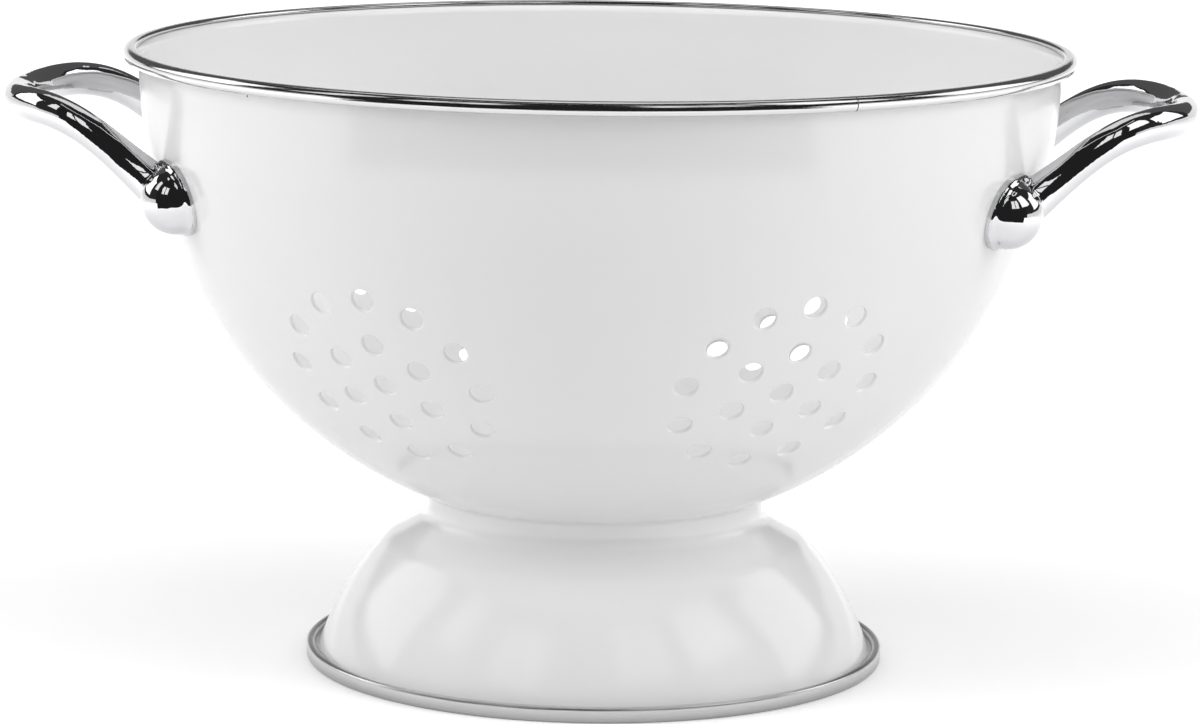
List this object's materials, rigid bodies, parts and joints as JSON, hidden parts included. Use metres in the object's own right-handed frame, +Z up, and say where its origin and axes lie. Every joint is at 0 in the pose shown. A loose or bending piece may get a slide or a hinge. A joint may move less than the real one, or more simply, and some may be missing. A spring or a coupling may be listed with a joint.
{
  "type": "footed colander",
  "caption": "Enamelled steel colander with rosettes of drain holes, a flared foot, metal bands round rim and foot, and cast bail handles.",
  "frame": {"origin": "on the surface it stands on, under the middle of the bowl", "axes": "+Z up along the bowl's axis, +X towards the right handle, -Y towards the front"},
  "size_m": [0.3362, 0.267, 0.175],
  "materials": {
    "white_enamel": "glossy enamel",
    "polished_steel": "polished",
    "satin_steel": "satin",
    "chrome_plate": "mirror",
    "fastener_steel": "plain"
  },
  "bodies": {
    "root": {"bowl": "white_enamel", "foot": "white_enamel", "rim_band": "polished_steel", "foot_band": "satin_steel", "left_handle": "chrome_plate", "right_handle": "chrome_plate", "left_front_screw": "fastener_steel", "left_back_screw": "fastener_steel", "right_front_screw": "fastener_steel", "right_back_screw": "fastener_steel", "left_front_washer": "fastener_steel", "left_back_washer": "fastener_steel", "right_front_washer": "fastener_steel", "right_back_washer": "fastener_steel"}
  },
  "joints": []
}
